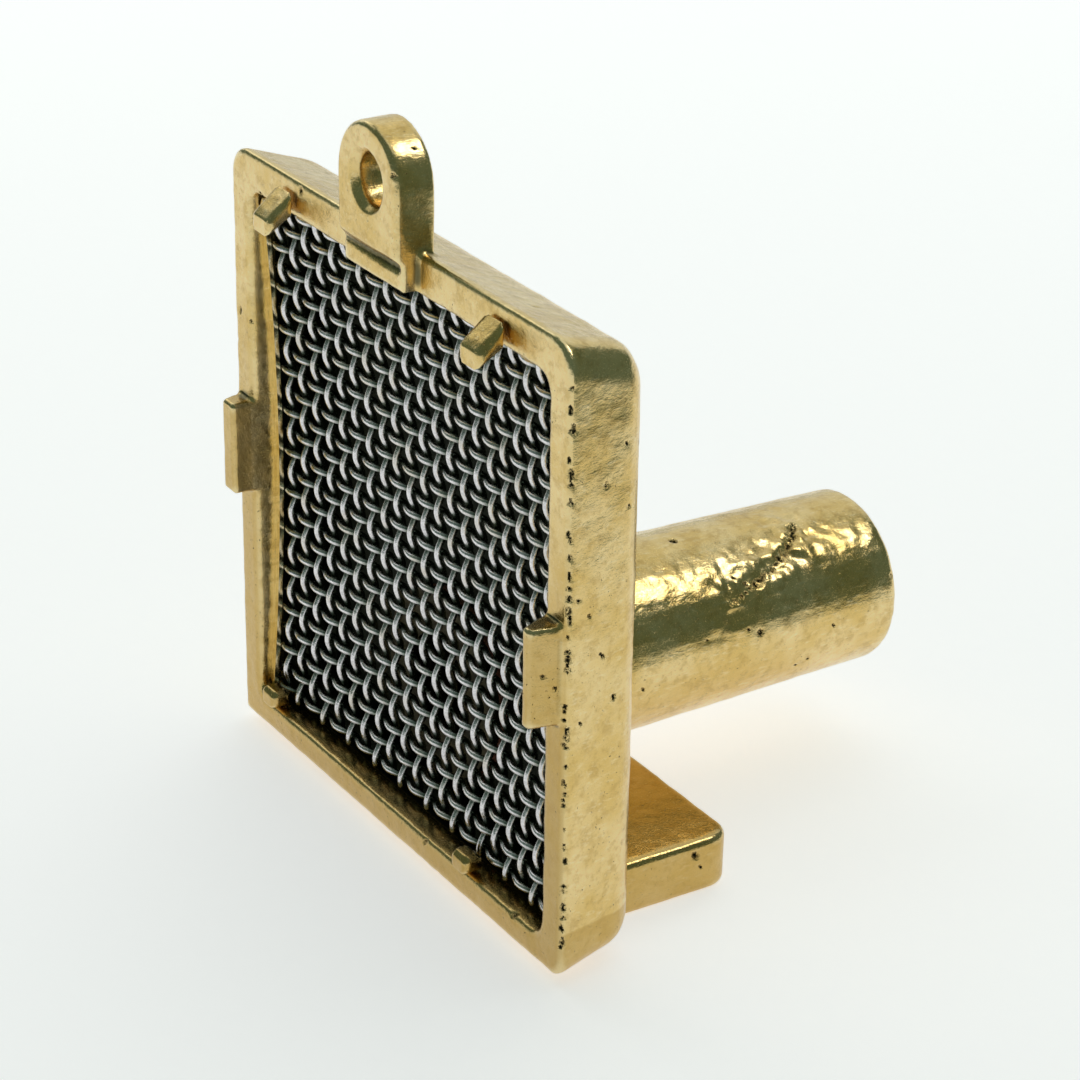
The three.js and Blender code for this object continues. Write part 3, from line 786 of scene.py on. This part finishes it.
def woven_screen(material):
    """Plain-weave cloth that follows the dish of the screen."""
    low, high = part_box("screen_cloth")
    front = surface_probe("screen_cloth")
    middle = ((low.x + high.x) / 2, (low.z + high.z) / 2)
    half = ((high.x - low.x) / 2 - WIRE_RADIUS, (high.z - low.z) / 2 - WIRE_RADIUS)
    pitch = (ACROSS_PITCH, UP_PITCH)
    points, faces, crest_lights, count = [], [], [], 0
    rng = np.random.default_rng(SCREEN_SEED)
    for axis in (0, 1):
        other = 1 - axis
        wires = int(half[axis] / pitch[axis])
        for w in range(-wires, wires + 1):
            fixed = middle[axis] + (w + rng.normal(0, WIRE_STRAY)) * pitch[axis]
            reach = half[other]
            steps = int(2 * reach / pitch[other] * STEPS_PER_CROSSING)
            run, crest_light = [], []
            for s in np.linspace(-reach, reach, steps):
                spot = [0, 0]
                spot[axis] = fixed
                spot[other] = middle[other] + s
                y = front(*spot)
                if y is None:
                    continue
                sign = 1 if (axis == 0) == (w % 2 == 0) else -1
                wave = sign * math.cos(math.pi * s / pitch[other])
                run.append((spot[0], y + CLOTH_DEPTH + WEAVE_LIFT * wave, spot[1]))
                # Painted light on the crests, painted shade where the wire dips back.
                crest_light.append((1 - wave) / 2 * CREST_PAINTED_LIGHT[axis])
            if len(run) < FEWEST_POINTS:
                continue
            p, f = tube(run, WIRE_RADIUS, WIRE_SIDES)
            points.append(p)
            crest_lights += list(np.repeat(crest_light, WIRE_SIDES))
            faces += [tuple(v + count for v in face) for face in f]
            count += len(p)
    mesh = bpy.data.meshes.new("woven_screen")
    mesh.from_pydata(np.concatenate(points), [], faces)
    store(mesh, "crest_light", np.array(crest_lights))
    piece = object_of("woven_screen", mesh, material)
    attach(piece, "housing")
    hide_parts("screen_cloth")


# ---- the valve -------------------------------------------------------------------------------
SPRING_TURNS = 6.5
SPRING_WIRE = 0.4 * MM
SPRING_STEPS_PER_TURN = 32
SPRING_SIDES = 12
FIT_GAP = 0.3 * MM
AT_WALL = 0.05 * MM
SHARPEST_SMOOTHED = math.radians(30)


def smooth_spring(material):
    """The return spring as a round wire, closed up at both ends."""
    low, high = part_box("valve_spring")
    centre = ((low.x + high.x) / 2, (low.z + high.z) / 2)
    coil = (high.x - low.x) / 2 - SPRING_WIRE
    path = []
    for t in np.linspace(0, 1, int(SPRING_TURNS * SPRING_STEPS_PER_TURN)):
        angle = t * SPRING_TURNS * 2 * math.pi
        y = low.y + SPRING_WIRE + t * (high.y - low.y - 2 * SPRING_WIRE)
        path.append((
            centre[0] + coil * math.cos(angle), y, centre[1] + coil * math.sin(angle)
        ))
    points, faces = tube(path, SPRING_WIRE, SPRING_SIDES)
    mesh = bpy.data.meshes.new("round_spring")
    mesh.from_pydata(points, [], faces)
    piece = object_of("round_spring", mesh, material)
    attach(piece, "housing")
    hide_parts("valve_spring")
    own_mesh(piece)


def screen_strip(side, material):
    """The strip beside the screen, out to the wall that it is pressed against."""
    node = "screen_edge_" + side
    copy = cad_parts[node].data.copy()
    points = points_of(copy)
    low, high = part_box(node)
    outer = high.x if side == "right" else low.x
    at_wall = np.abs(points[:, 0] - outer) < AT_WALL
    points[at_wall, 0] += math.copysign(FIT_GAP, outer)
    set_points(copy, points)
    piece = object_of("strip_" + side, copy, material)
    copy.set_sharp_from_angle(angle=SHARPEST_SMOOTHED)
    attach(piece, "housing")
    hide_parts(node)


def paint_node(node, material):
    """Gives a carried-over CAD node its material and smooth shading over small angles."""
    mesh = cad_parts[node].data
    mesh.materials.clear()
    mesh.materials.append(material)
    mesh.shade_smooth()
    mesh.set_sharp_from_angle(angle=SHARPEST_SMOOTHED)


# ---- studio ----------------------------------------------------------------------------------
LIT_HEIGHT = 45 * MM
DIM = (0.10, 0.145, 0.12)
BACKDROP = (0.93, 0.93, 0.93)
CARD_TOWARDS = math.radians(32)
CARD_DISTANCE = 175 * MM
CARD_WIDTH = 420 * MM
CARD_HEIGHT = 190 * MM
CARD_OFF_FLOOR = 0.5 * MM
FLOOR_REACH = 3


def softbox(name, towards, distance, width, height, radiance):
    """A rectangular light at that direction from the object's middle, facing it."""
    target = Vector((0, 0, LIT_HEIGHT))
    data = bpy.data.lights.new(name, "AREA")
    data.shape = "RECTANGLE"
    data.size = width
    data.size_y = height
    data.energy = radiance * math.pi * width * height
    lamp = bpy.data.objects.new(name, data)
    bpy.context.scene.collection.objects.link(lamp)
    direction = Vector(towards).normalized()
    lamp.location = target + direction * distance
    lamp.rotation_euler = direction.to_track_quat("Z", "Y").to_euler()
    lamp.visible_camera = False
    return lamp


def dark_card():
    """A dim card behind the object that only its reflections show."""
    n = Nodes("card")
    n.shader.inputs["Base Color"].default_value = (0, 0, 0, 1)
    n.shader.inputs["Specular IOR Level"].default_value = 0
    n.shader.inputs["Emission Color"].default_value = (*DIM, 1)
    n.shader.inputs["Emission Strength"].default_value = 1
    middle = Vector((math.cos(CARD_TOWARDS), math.sin(CARD_TOWARDS), 0)) * CARD_DISTANCE
    along = Vector((-math.sin(CARD_TOWARDS), math.cos(CARD_TOWARDS), 0)) * CARD_WIDTH / 2
    up = Vector((0, 0, CARD_HEIGHT))
    lift = Vector((0, 0, CARD_OFF_FLOOR))
    corners = [middle - along + lift, middle + along + lift]
    corners += [corners[1] + up, corners[0] + up]
    mesh = bpy.data.meshes.new("card")
    mesh.from_pydata([tuple(c) for c in corners], [], [(0, 1, 2, 3)])
    card = object_of("card", mesh, n.material)
    card.visible_camera = False
    card.visible_shadow = False
    card.visible_diffuse = False


def lay_floor():
    """The plain floor that the object stands on."""
    sides = ((-1, -1), (1, -1), (1, 1), (-1, 1))
    corners = [(x * FLOOR_REACH, y * FLOOR_REACH, 0) for x, y in sides]
    mesh = bpy.data.meshes.new("floor")
    mesh.from_pydata(corners, [], [(0, 1, 2, 3)])
    object_of("floor", mesh, floor_paint())


def surround():
    """Dim surroundings in the reflections, and a light backdrop for the camera."""
    world = bpy.data.worlds.new("studio")
    bpy.context.scene.world = world
    world.use_nodes = True
    tree = world.node_tree
    seen = tree.nodes.new("ShaderNodeLightPath")
    pick = tree.nodes.new("ShaderNodeMix")
    pick.data_type = "RGBA"
    reflected, shown = [s for s in pick.inputs if s.type == "RGBA"]
    reflected.default_value = (*DIM, 1)
    shown.default_value = (*BACKDROP, 1)
    tree.links.new(seen.outputs["Is Camera Ray"], pick.inputs["Factor"])
    result = [s for s in pick.outputs if s.type == "RGBA"][0]
    tree.links.new(result, tree.nodes["Background"].inputs["Color"])


def studio():
    lay_floor()
    surround()
    softbox("overhead", (-0.1, 0.25, 1.0), 1.2, 1.2, 1.0, 0.62)
    key = softbox("key", (0.285, 0.484, 0.827), 0.9, 0.26, 0.26, 6.0)
    key.visible_diffuse = False
    softbox("back_left", (-0.765, 0.484, 0.48), 1.0, 1.5, 0.95, 0.65)
    softbox("left", (-0.8, -0.15, 0.62), 1.0, 0.5, 0.4, 0.7)
    dark_card()
    bpy.context.scene.view_settings.view_transform = "Standard"


def main():
    place_camera()
    brass = cast_brass()
    cast_piece("body_casting", brass, BODY_VOXEL, BODY_ROUNDS, BODY_SEED)
    for i, hook in enumerate(("top_left", "top_right", "bottom_left", "bottom_right")):
        cast_piece("hook_" + hook, brass, HOOK_VOXEL, HOOK_ROUNDS, HOOK_SEED + i)
    woven_screen(screen_wire())
    smooth_spring(spring_steel())
    axis_height = (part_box("poppet")[0].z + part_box("poppet")[1].z) / 2
    turned = turned_brass(axis_height)
    strip = strip_brass()
    for side in ("left", "right"):
        screen_strip(side, strip)
    for node in ("seat_bush", "poppet", "seal_plate", "stem_nut", "guide_spider"):
        paint_node(node, turned)
    paint_node("seal_washer", seal_rubber())
    paint_node("seat_gasket", gasket_fibre())
    studio()


main()
